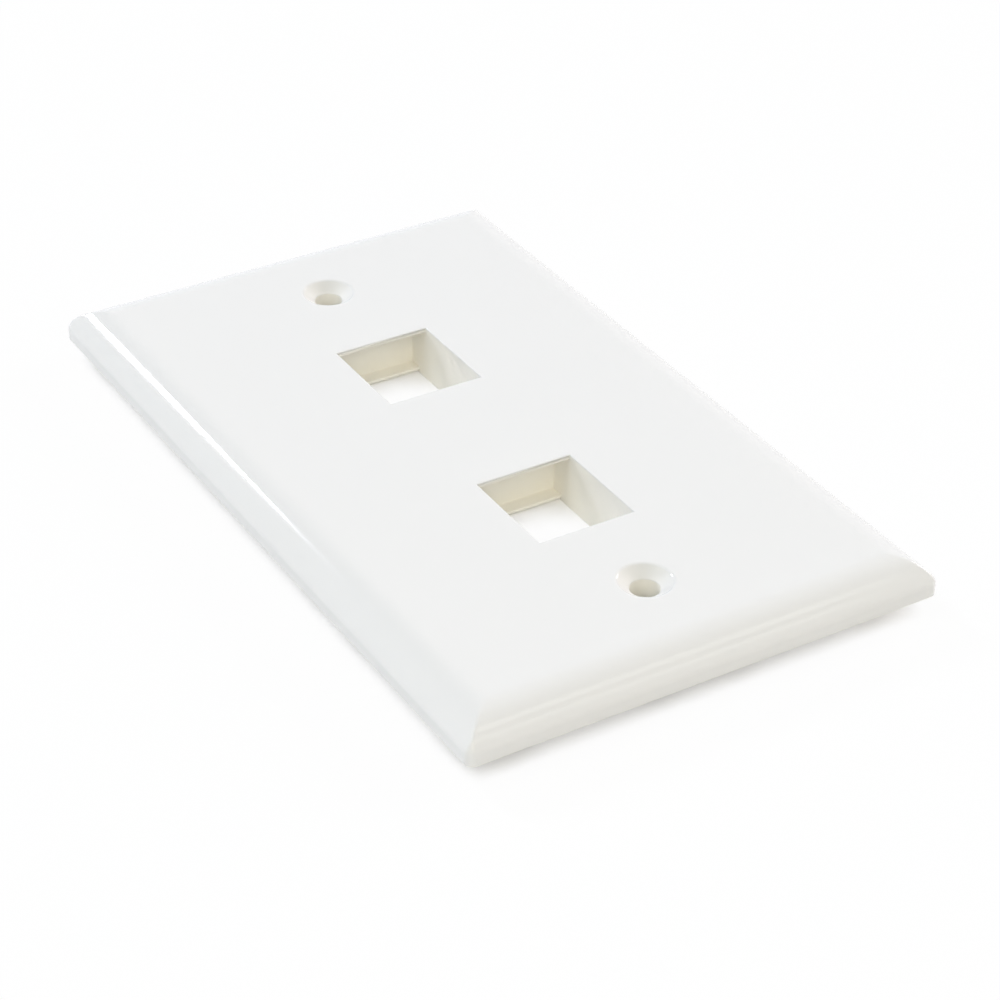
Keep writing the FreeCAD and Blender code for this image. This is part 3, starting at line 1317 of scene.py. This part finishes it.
@dataclass(frozen=True)
class Studio:
    """A pale floor, a soft even sky and the lamps. Lengths in metres."""

    floor_height: float
    floor_half: float = 6.0
    floor_tone: tuple[float, float, float] = (0.93, 0.93, 0.93)
    floor_roughness: float = 0.9
    floor_gloss: float = 0.1
    # The white share falls from open_white to corner_white where the floor is shut in: painted
    # shade in the corners round the plate.
    open_white: float = 0.95
    corner_white: float = 0.16
    corner_reach: float = 0.010
    corner_samples: int = 16
    shut_in: float = 0.22
    open_out: float = 0.58
    sky: tuple[float, float, float] = (0.18, 0.20, 0.225)

    def build(self) -> None:
        """Build the floor, the sky and the lamps."""
        self._floor()
        self._sky()
        for lamp in LAMPS:
            lamp.build()

    @staticmethod
    def _seen(sheet: NodeSheet) -> bpy.types.NodeSocket:
        """Tell what looks from what gathers light.

        Args:
            sheet: The material's or the sky's sheet.

        Returns:
            One where the camera, a mirror or clear glass looks, and zero elsewhere.
        """
        rays = sheet.node("ShaderNodeLightPath").outputs
        seen = sheet.math("MAXIMUM", rays["Is Camera Ray"], rays["Is Glossy Ray"])
        return sheet.math("MAXIMUM", seen, rays["Is Transmission Ray"])

    def _whitening(self, sheet: NodeSheet) -> bpy.types.NodeSocket:
        """How white the camera and mirrors see the floor: less in the corners round the plate.

        The share rises with the open part of the half sphere over each point of the floor. Where it
        falls, the floor is darker: painted shade that follows the occlusion, over the real shadow
        that shows through there.

        Args:
            sheet: The floor's sheet.

        Returns:
            The share's socket.
        """
        openness = sheet.node(
            "ShaderNodeAmbientOcclusion",
            {"Distance": self.corner_reach},
            samples=self.corner_samples,
        )
        share = sheet.node(
            "ShaderNodeMapRange",
            {
                "Value": openness.outputs["AO"],
                "From Min": self.shut_in,
                "From Max": self.open_out,
                "To Min": self.corner_white,
                "To Max": self.open_white,
            },
            interpolation_type="SMOOTHSTEP",
        )
        return sheet.math("MULTIPLY", self._seen(sheet), share.outputs["Result"])

    @staticmethod
    def _mix(sheet: NodeSheet, share: bpy.types.NodeSocket, kinds: tuple[str, str, str]) -> None:
        """Mix a white shader of strength one into what a sheet puts out.

        Args:
            sheet: The material's or the sky's sheet.
            share: How much of the white shows, from zero to one.
            kinds: Names of the plain shader and of the output, and the white shader's type.
        """
        plain, output, white = kinds
        bright = sheet.node(white, {"Color": WHITE, "Strength": 1.0})
        inputs = {0: share, 1: sheet.tree.nodes[plain].outputs[0], 2: bright.outputs[0]}
        mixed = sheet.node("ShaderNodeMixShader", inputs)
        sheet.feed(sheet.tree.nodes[output], {"Surface": mixed.outputs[0]})

    def _floor(self) -> None:
        """A level square that is white to the camera and keeps the plate's shadow."""
        half = self.floor_half
        corners = [(-half, -half), (half, -half), (half, half), (-half, half)]
        mesh = bpy.data.meshes.new("floor")
        mesh.from_pydata([(x, y, self.floor_height) for x, y in corners], [], [(0, 1, 2, 3)])
        material = bpy.data.materials.new("floor")
        material.use_nodes = True
        sheet = NodeSheet(material.node_tree)
        sheet.feed(
            sheet.tree.nodes["Principled BSDF"],
            {
                "Base Color": (*self.floor_tone, 1.0),
                "Roughness": self.floor_roughness,
                "Specular IOR Level": self.floor_gloss,
            },
        )
        kinds = ("Principled BSDF", "Material Output", "ShaderNodeEmission")
        self._mix(sheet, self._whitening(sheet), kinds)
        mesh.materials.append(material)
        into_scene("floor", mesh)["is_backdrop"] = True

    def _sky(self) -> None:
        """An even, dim sky, white where the camera and mirrors see it."""
        world = bpy.data.worlds.new("sky")
        world.use_nodes = True
        bpy.context.scene.world = world
        sheet = NodeSheet(world.node_tree)
        sheet.feed(sheet.tree.nodes["Background"], {"Color": (*self.sky, 1.0)})
        kinds = ("Background", "World Output", "ShaderNodeBackground")
        self._mix(sheet, self._seen(sheet), kinds)


@dataclass(frozen=True)
class Viewpoint:
    """The camera, in metres and degrees. Heading is clockwise from +Y, seen from above."""

    location: tuple[float, float, float] = (-0.1652, -0.2715, 0.2065)
    heading: float = 32.204
    pitch: float = -33.884
    roll: float = 1.319
    lens: float = 99.8
    sensor: float = 36.0
    shift: float = -0.009
    nearest: float = 0.01
    farthest: float = 20.0

    def build(self) -> None:
        """Place the camera and make it the scene's."""
        data = bpy.data.cameras.new("camera")
        data.sensor_width = self.sensor
        data.lens = self.lens
        data.shift_x = self.shift
        data.clip_start, data.clip_end = self.nearest, self.farthest
        camera = into_scene("camera", data)
        turn = aim(self.heading, 90.0 + self.pitch, self.roll)
        camera.matrix_world = Matrix.Translation(self.location) @ turn
        bpy.context.scene.camera = camera


def main() -> None:
    """Build the plate and its studio in order, and report each piece."""
    logging.basicConfig(level=logging.INFO, format="%(name)s: %(message)s")
    cad_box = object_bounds()
    bpy.context.scene.view_settings.view_transform = "Standard"
    Viewpoint().build()
    LOG.info("camera placed")

    tone_group, skin_group = resin_tone_group(), mould_skin_group()
    finishes = [FINISHES[side].material(tone_group, skin_group) for side in Side]
    plate = Faceplate.from_frame("faceplate", frame["record"]).build("faceplate_moulding", finishes)
    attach(plate, "root")
    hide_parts("faceplate")
    LOG.info("faceplate_moulding: %d faces", len(plate.data.polygons))

    Studio(floor_height=float(cad_box[0][2]) - FLOOR_GAP).build()
    LOG.info("studio built")


if __name__ == "__main__":
    main()
